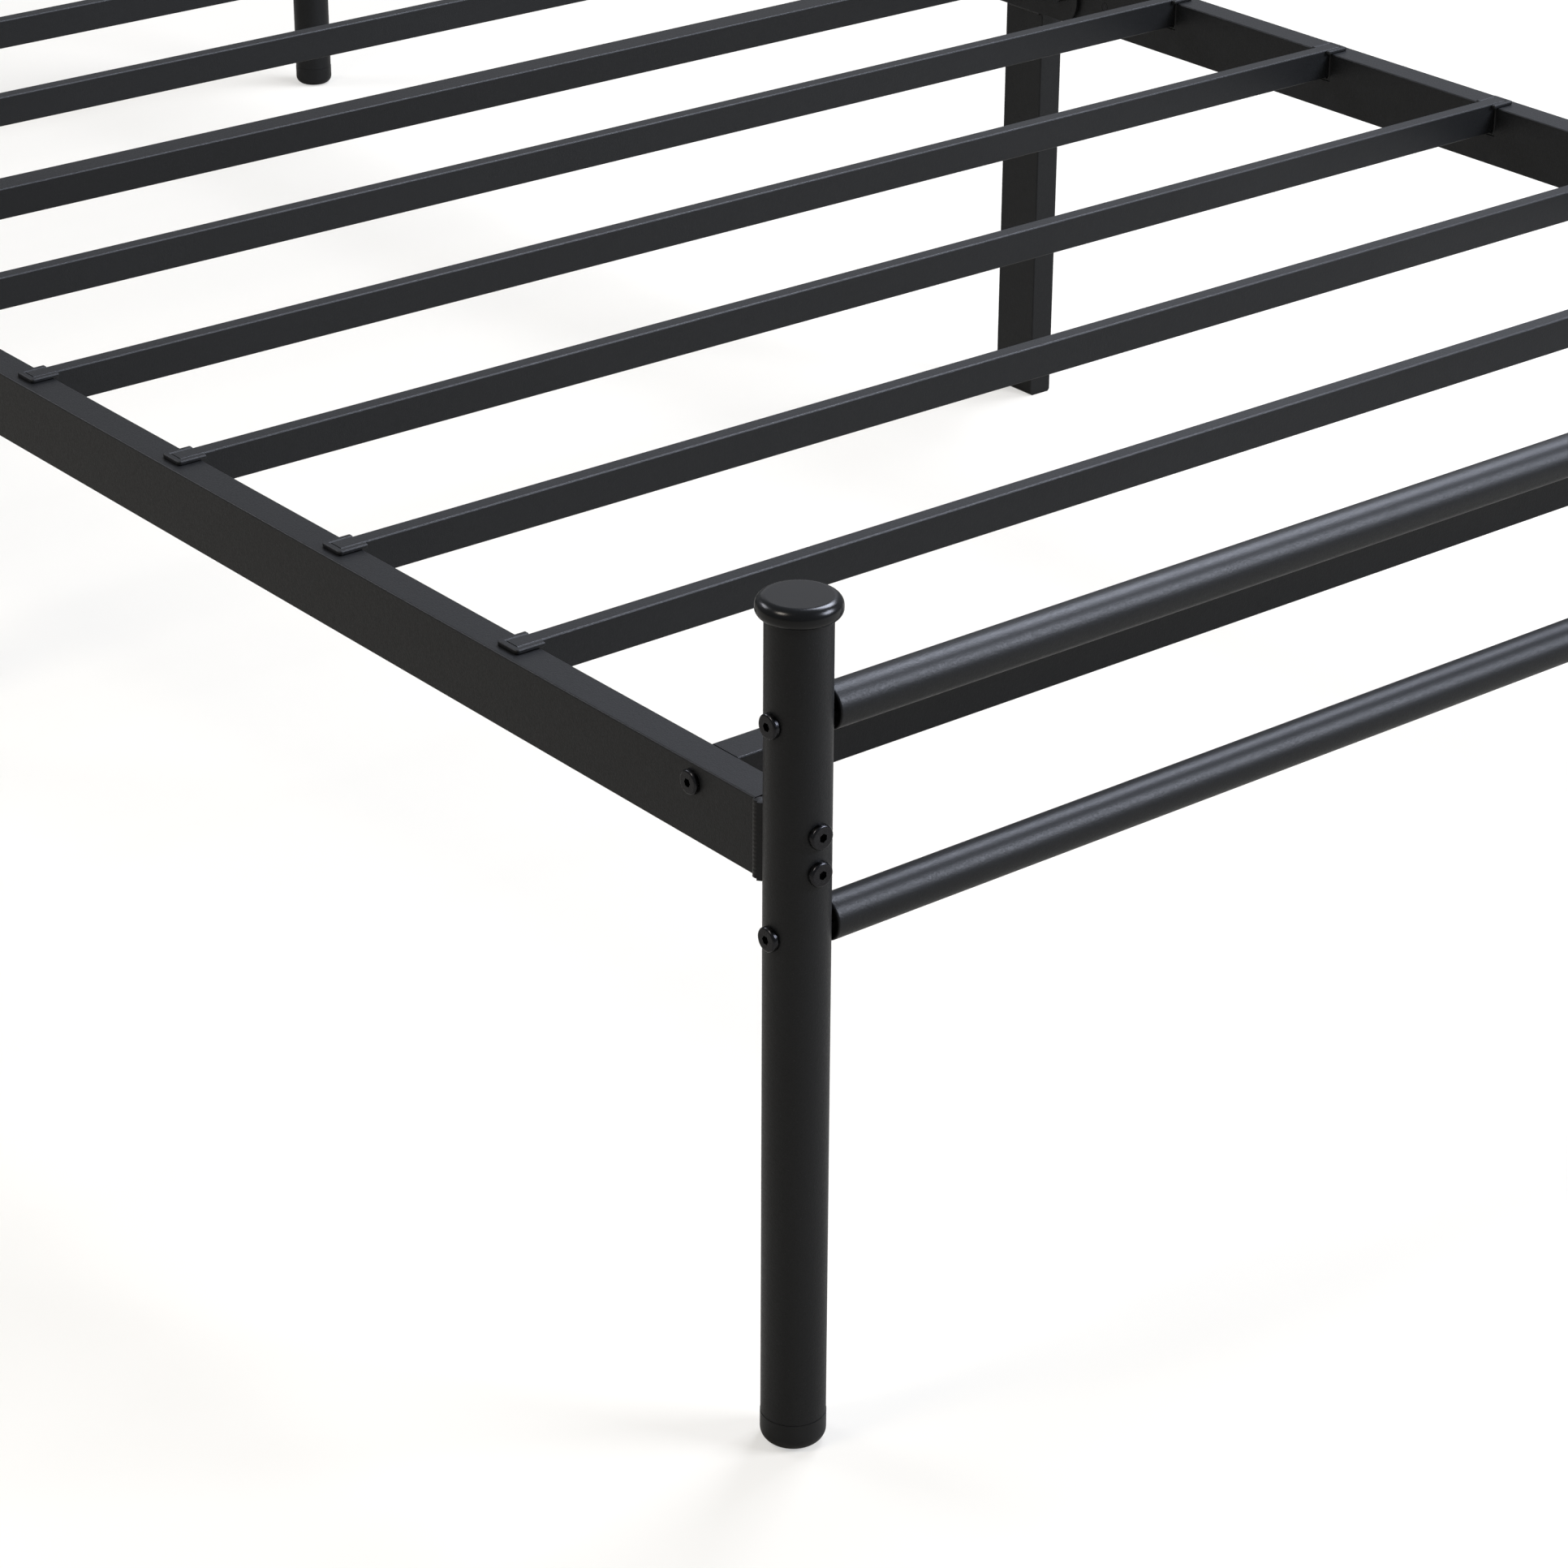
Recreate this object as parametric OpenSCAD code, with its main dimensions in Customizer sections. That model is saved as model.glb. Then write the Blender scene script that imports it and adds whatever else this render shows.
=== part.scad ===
// Metal bed frame, single size, bolted together from powder-coated steel tube.
// Millimetres. The origin is on the floor under the middle of the bed.
// +X is the sleeper's right seen from the foot end, +Y points at the head end, +Z is up.

/* [Overall] */
// Distance across the bed between the centres of two posts
span_x = 1030; // [800:10:1600]
// Distance along the bed between the centres of two posts
span_y = 1988; // [1640:4:2400]
// Height of the top of the side rails above the floor
rail_top = 343; // [290:1:450]
// Height that the two foot posts stand above the side rails
foot_post_rise = 95; // [85:1:250]
// Height that the two head posts stand above the side rails
head_post_rise = 537; // [300:1:800]

/* [Posts] */
// Outside diameter of a post
post_d = 32; // [28:0.5:40]
// Wall of a post
post_wall = 1.5; // [1:0.1:2.5]
// Width of the mushroom cap's rim that stands out from the post
cap_overhang = 4.2; // [3.5:0.1:8]
// Height of the mushroom cap above the post
cap_h = 10; // [9:0.5:16]
// Rounding of the upper edge of the cap
cap_top_round = 5; // [2:0.1:5]
// Rounding of the lower edge of the cap
cap_under_round = 4; // [2:0.1:4]
// Height of the plastic foot below a post
foot_h = 16; // [8:0.5:24]
// Rounding of the lower edge of a foot
foot_round = 6.5; // [2:0.5:7.5]
// Width by which a foot stands out from the post all around
foot_flare = 0.2; // [0:0.1:1.5]

/* [Head and foot bars] */
// Outside diameter of a round bar
bar_d = 22; // [18:0.5:25]
// Wall of a round bar
bar_wall = 1.5; // [1:0.1:2]
// Distance from the underside of the side rails down to the lowest bar, the same at both ends
low_bar_drop = 23; // [18:1:120]
// Distance from the top of the foot posts down to the upper foot bar
foot_bar_drop = 50; // [30:1:60]
// Distance from the top of the head posts down to the highest head bar
head_bar_drop = 42; // [30:1:80]
// Number of bars between the head posts
head_bars = 4; // [2:1:5]

/* [Side rails] */
// Width of a side rail
rail_w = 20; // [20:1:30]
// Height of a side rail
rail_h = 40; // [36:1:60]
// Wall of a side rail
rail_wall = 1.5; // [1.2:0.1:2]
// Thickness of the curved saddle that seats a rail on its post
saddle_t = 3; // [2:0.5:4]
// Angle that the saddle covers around the post
saddle_angle = 76; // [70:2:120]
// Height that the saddle reaches below the rail
saddle_drop = 0.5; // [0:0.5:4]
// Distance between the two bolts that hold a saddle
saddle_bolt_pitch = 19; // [16:1:21]
// Height of the middle between those bolts above the middle of the rail
saddle_bolt_rise = 1.5; // [0:0.5:2]

/* [Middle joint] */
// Length of the short rail piece on top of a middle leg
joint_len = 194; // [190:2:240]
// Distance from the end of that piece to its bolt
joint_bolt_inset = 10; // [9:1:20]
// Length of the spigot that lies half in the rail and half in the joint
spigot_len = 80; // [50:2:90]
// Size of a middle leg along the bed
leg_l = 40; // [30:1:60]
// Thickness of the plastic foot below a middle leg
leg_foot_h = 6; // [4:0.5:12]
// Bevel around the bottom of that foot
leg_foot_bevel = 2; // [1:0.5:3]

/* [Cross rails] */
// Width of a cross rail, measured along the bed
cross_w = 20; // [18:1:30]
// Height of a cross rail
cross_h = 20; // [18:1:30]
// Wall of a cross rail
cross_wall = 1.2; // [1:0.1:2]
// Distance from a post centre to the centre of the cross rail next to it
cross_inset = 66; // [50:1:100]
// Length of the plate at the end of the middle cross rail
plate_l = 120; // [110:2:150]
// Thickness of that plate
plate_t = 3; // [2:0.5:5]
// Rounding of the corners of that plate
plate_round = 17; // [4:1:17]
// Distance between the two bolts in that plate
plate_bolt_pitch = 84; // [70:2:90]

/* [Slats] */
// Number of slats between two cross rails
slats_per_bay = 5; // [3:1:6]
// Width of a slat
slat_w = 10; // [8:0.5:16]
// Height of a slat
slat_h = 20; // [16:1:24]
// Wall of a slat
slat_wall = 1; // [0.8:0.1:1.5]
// Height that a slat stands above the side rails
slat_rise = 2.4; // [1.5:0.1:5]
// Length of a slat's end that lies over the side rail
slat_seat = 11; // [8:0.5:12]
// Width of the clip's rim around a slat
rim_w = 3.4; // [2.5:0.1:5]
// Rounding of the two outer corners of that rim
rim_round = 2; // [0.5:0.5:2.5]
// Wall of the clip's pocket around a slat
pocket_wall = 1.8; // [1.2:0.1:2.4]
// Length that the clip's arms reach past the rail's inner face
arm_reach = 3; // [1:0.5:6]

/* [Bolts] */
// Thread diameter of every bolt
bolt_d = 6; // [5:0.5:6.5]
// Diameter of a bolt head
head_d = 12.6; // [11:0.2:14]
// Height of a bolt head
head_h = 2.6; // [2.2:0.1:4]
// Width across the flats of the hexagon socket
socket_af = 4; // [3:0.5:4]
// Depth of the hexagon socket
socket_depth = 2.4; // [1.5:0.1:3]
// Width across the flats of a nut
nut_af = 10; // [9:0.5:10.5]
// Height of a nut
nut_h = 5; // [4:0.5:6]

/* [Hidden] */
FOOT = -1;
HEAD = 1;
LEFT = -1;
RIGHT = 1;
ENDS = [["foot", FOOT], ["head", HEAD]];
SIDES = [["left", LEFT], ["right", RIGHT]];

STEEL = "#2b2c2e";
PLASTIC = "#1b1c1e";
BLACK_ZINC = "#111113";

fit = 0.2;                 // gap between a piece and what it slips into
hole_slack = 0.5;          // how much wider a bolt's hole is than the bolt
thread_slack = 0.1;        // the same for a thread, which is drawn as a plain bore
tube_corner = 1;           // outside corner radius of every rectangular tube
least_corner = 0.3;        // inside corner radius of a tube whose wall is thicker than its corner
corner_steps = 5;          // flat faces in one rounded corner
plate_steps = 12;          // the same in one wide corner of a plate
plug_len = 18;             // how far a cap, foot or plug reaches into its tube
plug_recess = 3;           // how deep a threaded plug sits inside its tube's end
notch_slack = 0.4;         // play of a clip's pocket in its notch
past = 1;                  // how far a cut runs past the face that it opens
round_fn = 96;

post_r = post_d / 2;
post_bore_r = post_r - post_wall;
cap_r = post_r + cap_overhang;
foot_r = post_r + foot_flare;
half_x = span_x / 2;
half_y = span_y / 2;
hole_d = bolt_d + hole_slack;
rail_bottom = rail_top - rail_h;
rail_mid = rail_top - rail_h / 2;
foot_post_top = rail_top + foot_post_rise;
head_post_top = rail_top + head_post_rise;
low_bar_z = rail_bottom - low_bar_drop;
foot_bar_z = foot_post_top - foot_bar_drop;
head_bar_step = (head_post_top - head_bar_drop - low_bar_z) / (head_bars - 1);
bar_len = span_x - post_d - 2 * fit;
saddle_in_r = post_r + fit;
saddle_out_r = saddle_in_r + saddle_t;
rail_start = half_y - saddle_out_r;
joint_half = joint_len / 2;
rail_len = rail_start - joint_half;
rail_in = half_x - rail_w / 2;
rail_out = half_x + rail_w / 2;
cross_y = half_y - cross_inset;
cross_z = rail_top - cross_h / 2;
slat_pitch = cross_y / (slats_per_bay + 1);
slat_z = rail_top + slat_rise - slat_h / 2;
slat_len = 2 * (rail_in + slat_seat);
pocket_w = slat_w + 2 * (fit + pocket_wall);
pocket_end = slat_seat + fit + pocket_wall;
pocket_bottom = rail_top + slat_rise - slat_h - fit - pocket_wall;
rim_out_w = slat_w + 2 * (fit + rim_w);
rim_end = slat_seat + fit + rim_w;
cross_len = 2 * rail_in;
middle_len = 2 * (rail_in - plate_t);

SLAT_PLACES = concat(
    [for (i = [slats_per_bay : -1 : 1]) -i * slat_pitch],
    [for (i = [1 : slats_per_bay]) i * slat_pitch]
);
SADDLE_BOLT_Z = [
    rail_mid + saddle_bolt_rise - saddle_bolt_pitch / 2,
    rail_mid + saddle_bolt_rise + saddle_bolt_pitch / 2
];

// ---- shared shapes ----

// Points of a w by h rectangle, centred, with corners of radius r.
function round_rect(w, h, r, steps) = [
    for (k = [0 : 3], i = [0 : steps])
        let (a = 90 * k + 90 * i / steps,
             sx = (k == 0 || k == 3) ? 1 : -1,
             sy = (k < 2) ? 1 : -1)
        [sx * (w / 2 - r) + r * cos(a), sy * (h / 2 - r) + r * sin(a)]
];

// Points of an arc around [x, y], from angle a to angle b.
function arc(x, y, r, a, b, steps) =
    [for (i = [0 : steps]) let (t = a + (b - a) * i / steps) [x + r * cos(t), y + r * sin(t)]];

// Rectangular tube that stands on the floor of its own frame.
module rect_tube(w, h, wall, len, corner = tube_corner) {
    difference() {
        linear_extrude(len) polygon(round_rect(w, h, corner, corner_steps));
        translate([0, 0, -past])
            linear_extrude(len + 2 * past)
                polygon(round_rect(w - 2 * wall, h - 2 * wall, max(corner - wall, least_corner), corner_steps));
    }
}

// Round tube that stands on the floor of its own frame.
module round_tube(d, wall, len) {
    difference() {
        cylinder(h = len, d = d, $fn = round_fn);
        translate([0, 0, -past]) cylinder(h = len + 2 * past, d = d - 2 * wall, $fn = round_fn);
    }
}

// The same tubes, lying along X or along Y and centred on the origin.
module along_x(len) {
    translate([-len / 2, 0, 0]) rotate([90, 0, 90]) children();
}

module along_y(len) {
    translate([0, len / 2, 0]) rotate([90, 0, 0]) children();
}

// Drills that run along X and along Y through the origin.
module drill_x(d, len) {
    translate([-len / 2, 0, 0]) rotate([0, 90, 0]) cylinder(h = len, d = d, $fn = round_fn);
}

module drill_y(d, len) {
    translate([0, len / 2, 0]) rotate([90, 0, 0]) cylinder(h = len, d = d, $fn = round_fn);
}

// Bolt with a low round head. The head sits on z = 0 and the shank points down.
module bolt(len) {
    rim = head_h / 2;
    head = concat(
        [[0, 0], [head_d / 2, 0]],
        arc(head_d / 2 - rim, head_h - rim, rim, 0, 90, corner_steps),
        [[0, head_h]]
    );
    color(BLACK_ZINC)
    difference() {
        union() {
            rotate_extrude($fn = round_fn) polygon(head);
            translate([0, 0, -len]) cylinder(h = len, d = bolt_d, $fn = round_fn);
        }
        translate([0, 0, head_h - socket_depth])
            cylinder(h = socket_depth + past, d = socket_af / cos(30), $fn = 6);
    }
}

// Bolts whose heads face outwards along X or along Y.
module bolt_x(side, len) {
    rotate([0, side * 90, 0]) bolt(len);
}

module bolt_y(end, len) {
    rotate([-end * 90, 0, 0]) bolt(len);
}

// Hexagon nut that stands on z = 0.
module nut() {
    color(BLACK_ZINC)
    difference() {
        cylinder(h = nut_h, d = nut_af / cos(30), $fn = 6);
        translate([0, 0, -past])
            cylinder(h = nut_h + 2 * past, d = bolt_d + thread_slack, $fn = round_fn);
    }
}

// Heights of the bolts through one post.
function bar_heights(end) = end == FOOT
    ? [low_bar_z, foot_bar_z]
    : [for (i = [0 : head_bars - 1]) low_bar_z + i * head_bar_step];
function post_top(end) = end == FOOT ? foot_post_top : head_post_top;

// ---- posts ----

module post(side, end) {
    top = post_top(end);
    color(STEEL)
    translate([side * half_x, end * half_y, 0])
    difference() {
        translate([0, 0, foot_h]) round_tube(post_d, post_wall, top - foot_h);
        for (z = bar_heights(end)) translate([0, 0, z]) drill_x(hole_d, post_d + 2 * past);
        for (z = SADDLE_BOLT_Z) translate([0, 0, z]) drill_y(hole_d, post_d + 2 * past);
    }
}

module post_cap(side, end) {
    plug_r = post_bore_r - fit;
    outline = concat(
        [[0, -plug_len], [plug_r, -plug_len], [plug_r, 0]],
        arc(cap_r - cap_under_round, cap_under_round, cap_under_round, -90, 0, 2 * corner_steps),
        arc(cap_r - cap_top_round, cap_h - cap_top_round, cap_top_round, 0, 90, 2 * corner_steps),
        [[0, cap_h]]
    );
    color(PLASTIC)
    translate([side * half_x, end * half_y, post_top(end)])
        rotate_extrude($fn = round_fn) polygon(outline);
}

module post_foot(side, end) {
    plug_r = post_bore_r - fit;
    outline = concat(
        [[0, 0]],
        arc(foot_r - foot_round, foot_round, foot_round, -90, 0, 2 * corner_steps),
        [[post_r, foot_h], [plug_r, foot_h], [plug_r, foot_h + plug_len], [0, foot_h + plug_len]]
    );
    color(PLASTIC)
    translate([side * half_x, end * half_y, 0])
        rotate_extrude($fn = round_fn) polygon(outline);
}

// ---- round bars of the headboard and the footboard ----

module bar(end, z) {
    color(STEEL)
    translate([0, end * half_y, z]) along_x(bar_len) round_tube(bar_d, bar_wall, bar_len);
}

// Threaded plug just inside each end of a bar.
module bar_plugs() {
    plug_d = bar_d - 2 * bar_wall - fit;
    x = bar_len / 2 - plug_recess - plug_len / 2;
    color(BLACK_ZINC)
    for (end = [FOOT, HEAD], side = [LEFT, RIGHT], z = bar_heights(end))
        translate([side * x, end * half_y, z])
        difference() {
            drill_x(plug_d, plug_len);
            drill_x(bolt_d + thread_slack, plug_len + 2 * past);
        }
}

module bar_bolts() {
    reach = post_d + plug_recess + plug_len;
    for (end = [FOOT, HEAD], side = [LEFT, RIGHT], z = bar_heights(end))
        translate([side * (half_x + post_r), end * half_y, z]) bolt_x(side, reach);
}

// ---- side rails ----

// What is cut from a rail for one clip: the top wall and the inner wall.
module clip_notch(side) {
    deep = rail_top - pocket_bottom + notch_slack;
    long = pocket_end + notch_slack;
    x = side > 0 ? rail_in - past : -rail_in - long;
    translate([x, -(pocket_w + notch_slack) / 2, rail_top - deep])
        cube([long + past, pocket_w + notch_slack, deep + past]);
}

module rail_half(side, end) {
    color(STEEL)
    difference() {
        translate([side * half_x, end * (joint_half + rail_len / 2), rail_mid])
            along_y(rail_len) rect_tube(rail_w, rail_h, rail_wall, rail_len);
        for (y = SLAT_PLACES)
            if (y * end > 0) translate([0, y, 0]) clip_notch(side);
        translate([side * half_x, end * cross_y, cross_z]) drill_x(hole_d, rail_w + 2 * past);
    }
}

// Curved plates welded to the ends of the rails.
module rail_saddles() {
    color(STEEL)
    for (side = [LEFT, RIGHT], end = [FOOT, HEAD])
        translate([side * half_x, end * half_y, 0])
        difference() {
            translate([0, 0, rail_bottom - saddle_drop])
                rotate([0, 0, -end * 90 - saddle_angle / 2])
                rotate_extrude(angle = saddle_angle, $fn = round_fn)
                    translate([saddle_in_r, 0]) square([saddle_t, rail_h]);
            for (z = SADDLE_BOLT_Z)
                translate([0, -end * saddle_out_r, z]) drill_y(hole_d, saddle_out_r);
        }
}

module saddle_bolts() {
    reach = post_r + saddle_out_r + nut_h;
    for (side = [LEFT, RIGHT], end = [FOOT, HEAD], z = SADDLE_BOLT_Z)
        translate([side * half_x, end * (half_y + post_r), z]) bolt_y(end, reach);
}

// Nuts welded behind the saddles, inside the ends of the rails.
module saddle_nuts() {
    for (side = [LEFT, RIGHT], end = [FOOT, HEAD], z = SADDLE_BOLT_Z)
        translate([side * half_x, end * rail_start, z]) rotate([end * 90, 0, 0]) nut();
}

// ---- middle joint and legs ----

module joint_piece(side) {
    color(STEEL)
    translate([side * half_x, 0, rail_mid])
    difference() {
        along_y(joint_len) rect_tube(rail_w, rail_h, rail_wall, joint_len);
        for (end = [FOOT, HEAD]) {
            translate([0, end * (joint_half - joint_bolt_inset), 0]) drill_x(hole_d, rail_w + 2 * past);
            translate([0, end * plate_bolt_pitch / 2, 0]) drill_x(hole_d, rail_w + 2 * past);
        }
    }
}

module rail_spigots() {
    w = rail_w - 2 * rail_wall - 2 * fit;
    h = rail_h - 2 * rail_wall - 2 * fit;
    color(STEEL)
    for (side = [LEFT, RIGHT], end = [FOOT, HEAD])
        translate([side * half_x, end * joint_half, rail_mid])
        difference() {
            along_y(spigot_len) rect_tube(w, h, rail_wall, spigot_len);
            translate([0, -end * joint_bolt_inset, 0]) drill_x(hole_d, rail_w);
        }
}

module joint_bolts() {
    for (side = [LEFT, RIGHT], end = [FOOT, HEAD])
        translate([side * rail_out, end * (joint_half - joint_bolt_inset), rail_mid])
            bolt_x(side, rail_w);
}

// Nuts held inside the spigots, against the inner wall.
module joint_nuts() {
    x = half_x - rail_w / 2 + 2 * rail_wall + fit;
    for (side = [LEFT, RIGHT], end = [FOOT, HEAD])
        translate([side * x, end * (joint_half - joint_bolt_inset), rail_mid])
            rotate([0, side * 90, 0]) nut();
}

module middle_leg(side) {
    color(STEEL)
    translate([side * half_x, 0, leg_foot_h])
        rect_tube(rail_w, leg_l, rail_wall, rail_bottom - leg_foot_h);
}

module leg_foot(side) {
    plug_x = rail_w - 2 * rail_wall - 2 * fit;
    plug_y = leg_l - 2 * rail_wall - 2 * fit;
    outline = [
        [-rail_w / 2 + leg_foot_bevel, 0], [rail_w / 2 - leg_foot_bevel, 0],
        [rail_w / 2, leg_foot_bevel], [rail_w / 2, leg_foot_h],
        [-rail_w / 2, leg_foot_h], [-rail_w / 2, leg_foot_bevel]
    ];
    color(PLASTIC)
    translate([side * half_x, 0, 0]) {
        intersection() {
            along_y(leg_l) linear_extrude(leg_l) polygon(outline);
            linear_extrude(leg_foot_h) polygon(round_rect(rail_w, leg_l, tube_corner, corner_steps));
        }
        translate([0, 0, leg_foot_h - past])
            linear_extrude(plug_len) polygon(round_rect(plug_x, plug_y, tube_corner, corner_steps));
    }
}

// ---- cross rails ----

module cross_rail(y, len) {
    color(STEEL)
    translate([0, y, cross_z]) along_x(len) rect_tube(cross_w, cross_h, cross_wall, len);
}

module cross_rail_plugs() {
    w = cross_w - 2 * cross_wall - fit;
    h = cross_h - 2 * cross_wall - fit;
    x = cross_len / 2 - plug_recess - plug_len / 2;
    color(BLACK_ZINC)
    for (side = [LEFT, RIGHT], end = [FOOT, HEAD])
        translate([side * x, end * cross_y, cross_z])
        difference() {
            along_x(plug_len)
                linear_extrude(plug_len) polygon(round_rect(w, h, tube_corner, corner_steps));
            drill_x(bolt_d + thread_slack, plug_len + 2 * past);
        }
}

module cross_rail_bolts() {
    reach = rail_w + plug_recess + plug_len;
    for (side = [LEFT, RIGHT], end = [FOOT, HEAD])
        translate([side * rail_out, end * cross_y, cross_z]) bolt_x(side, reach);
}

module cross_plate(side) {
    color(STEEL)
    translate([side * (rail_in - plate_t / 2), 0, rail_mid])
    difference() {
        along_x(plate_t)
            linear_extrude(plate_t) polygon(round_rect(plate_l, rail_h, plate_round, plate_steps));
        for (end = [FOOT, HEAD])
            translate([0, end * plate_bolt_pitch / 2, 0]) drill_x(hole_d, plate_t + 2 * past);
    }
}

module cross_plate_bolts() {
    reach = rail_w + plate_t + nut_h;
    for (side = [LEFT, RIGHT], end = [FOOT, HEAD])
        translate([side * rail_out, end * plate_bolt_pitch / 2, rail_mid]) bolt_x(side, reach);
}

module cross_plate_nuts() {
    for (side = [LEFT, RIGHT], end = [FOOT, HEAD])
        translate([side * (rail_in - plate_t), end * plate_bolt_pitch / 2, rail_mid])
            rotate([0, -side * 90, 0]) nut();
}

// ---- slats and their clips ----

module slat(i) {
    color(STEEL)
    translate([0, SLAT_PLACES[i - 1], slat_z])
        along_x(slat_len) rect_tube(slat_w, slat_h, slat_wall, slat_len);
}

// Outline of a clip's rim: two corners are square, and the two on the rail are rounded.
function rim_outline() =
    let (x = rim_round - rim_end, y = rim_out_w / 2)
    concat(
        [[arm_reach, -y], [arm_reach, y]],
        arc(x, y - rim_round, rim_round, 90, 180, corner_steps),
        arc(x, rim_round - y, rim_round, 180, 270, corner_steps)
    );

// Clip on the left rail: a pocket in the rail's notch under a rim that lies on the rail.
// Its own origin is on the rail's inner face, at the height of the rail's top.
module slat_clip() {
    pocket_h = rail_top + slat_rise - pocket_bottom;
    difference() {
        union() {
            translate([-pocket_end, -pocket_w / 2, slat_rise - pocket_h])
                cube([pocket_end, pocket_w, pocket_h]);
            linear_extrude(slat_rise) polygon(rim_outline());
        }
        translate([-slat_seat - fit, -slat_w / 2 - fit, slat_rise - slat_h - fit])
            cube([slat_seat + arm_reach + fit + past, slat_w + 2 * fit, slat_h + fit + past]);
    }
}

module slat_clips() {
    color(PLASTIC)
    for (y = SLAT_PLACES) {
        translate([-rail_in, y, rail_top]) slat_clip();
        translate([rail_in, y, rail_top]) rotate([0, 0, 180]) slat_clip();
    }
}

// ---- what is drawn ----

for (e = ENDS, s = SIDES) {
    post(s[1], e[1]);
    post_cap(s[1], e[1]);
    post_foot(s[1], e[1]);
    rail_half(s[1], e[1]);
}
bar(FOOT, low_bar_z);  // footboard_lower_bar
bar(FOOT, foot_bar_z);  // footboard_upper_bar
for (i = [1 : head_bars]) {
    bar(HEAD, bar_heights(HEAD)[i - 1]);
}
for (s = SIDES) {
    joint_piece(s[1]);
    middle_leg(s[1]);
    leg_foot(s[1]);
    cross_plate(s[1]);
}
cross_rail(-cross_y, cross_len);  // foot_cross_rail
cross_rail(0, middle_len);  // middle_cross_rail
cross_rail(cross_y, cross_len);  // head_cross_rail
for (i = [1 : 2 * slats_per_bay]) {
    slat(i);
}
slat_clips();
rail_saddles();
rail_spigots();
bar_plugs();
cross_rail_plugs();
bar_bolts();
saddle_bolts();
cross_rail_bolts();
joint_bolts();
cross_plate_bolts();
saddle_nuts();
joint_nuts();
cross_plate_nuts();
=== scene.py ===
# %% [markdown]
# # A black metal bed frame
#
# The frame is bolted together from powder-coated steel tube: four round posts, two box-section
# side rails, round bars at the foot and the head, and thin slats that sit in plastic clips.
# Every piece below is shaped with mesh operators from the sizes that the imported model gives,
# so the looks can never drift away from the design. First the model is loaded.

# %% Load the frame
import math

import bmesh
import bpy
from mathutils import Matrix, Vector


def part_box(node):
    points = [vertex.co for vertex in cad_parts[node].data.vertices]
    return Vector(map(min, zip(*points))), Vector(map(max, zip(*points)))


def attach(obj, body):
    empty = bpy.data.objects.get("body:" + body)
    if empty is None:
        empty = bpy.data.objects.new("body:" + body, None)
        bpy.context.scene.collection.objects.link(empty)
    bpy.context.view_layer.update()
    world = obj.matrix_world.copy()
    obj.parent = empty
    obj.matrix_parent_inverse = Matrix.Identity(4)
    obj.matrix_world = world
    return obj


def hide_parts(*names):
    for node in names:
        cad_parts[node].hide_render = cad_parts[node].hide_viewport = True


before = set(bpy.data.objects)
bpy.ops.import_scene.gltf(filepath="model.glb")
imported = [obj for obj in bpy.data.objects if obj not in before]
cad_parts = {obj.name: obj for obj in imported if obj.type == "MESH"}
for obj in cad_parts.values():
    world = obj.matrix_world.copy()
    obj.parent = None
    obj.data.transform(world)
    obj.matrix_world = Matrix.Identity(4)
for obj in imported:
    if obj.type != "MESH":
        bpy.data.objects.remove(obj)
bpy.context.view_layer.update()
print("nodes in the frame:", len(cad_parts))

# %% [markdown]
# ## Sizes
#
# Blender works in metres and a maker thinks in millimetres, so one constant turns one into the
# other. Lengths that a node's box shows, such as the thickness of a post, are read from it.
# Those that no box shows, such as the wall of a tube, are named here once.

# %% Sizes that the boxes don't show
MM = 0.001
POST_WALL = 1.5 * MM
BAR_WALL = 1.5 * MM
SLAT_WALL = 1.0 * MM
CROSS_WALL = 1.2 * MM
RAIL_WALL = 1.5 * MM
TUBE_CORNER = 1.0 * MM
CAP_TOP_ROUND = 5.0 * MM
CAP_UNDER_ROUND = 4.0 * MM
FOOT_ROUND = 6.5 * MM
PLUG_LENGTH = 18 * MM
BOLT_HEAD = 6.3 * MM
BOLT_HEAD_HEIGHT = 2.6 * MM
BOLT_SHANK = 3.0 * MM
SOCKET_FLATS = 4.0 * MM
SOCKET_DEPTH = 2.4 * MM

FOOT, HEAD, LEFT, RIGHT = -1, 1, -1, 1
ENDS = {"foot": FOOT, "head": HEAD}
SIDES = {"left": LEFT, "right": RIGHT}


def middle(node):
    low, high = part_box(node)
    return (low + high) / 2


def size(node):
    low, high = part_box(node)
    return high - low


post_radius = size("foot_left_post").x / 2
half_x = middle("foot_right_post").x
half_y = middle("head_left_post").y
print("half spans, mm:", round(half_x / MM, 1), round(half_y / MM, 1))
print("post radius, mm:", round(post_radius / MM, 2))

# %% [markdown]
# ## Colours
#
# Colours are picked as sRGB hex values, the way a paint chart or a browser shows them. Shaders
# calculate with linear light, so one function does the conversion for every material.


# %% From a hex colour to linear light
def linear(hex_colour):
    def channel(pair):
        value = int(pair, 16) / 255
        return value / 12.92 if value <= 0.04045 else ((value + 0.055) / 1.055) ** 2.4

    digits = hex_colour.lstrip("#")
    return (*(channel(digits[i : i + 2]) for i in (0, 2, 4)), 1.0)


# %% [markdown]
# ## One function for nodes
#
# A material is a small network. Writing every node as "kind, settings, links" keeps a network
# readable as a list, so a single helper adds a node, sets its sockets and joins its inputs.


# %% A node with its settings and links
def node(tree, kind, values=(), links=(), **options):
    made = tree.nodes.new(kind)
    for name, value in options.items():
        setattr(made, name, value)
    for socket, value in dict(values).items():
        made.inputs[socket].default_value = value
    for socket, output in dict(links).items():
        tree.links.new(output, made.inputs[socket])
    return made


def per_metre(length):
    """The scale of a pattern whose features are about this long."""
    return 1 / length


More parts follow.
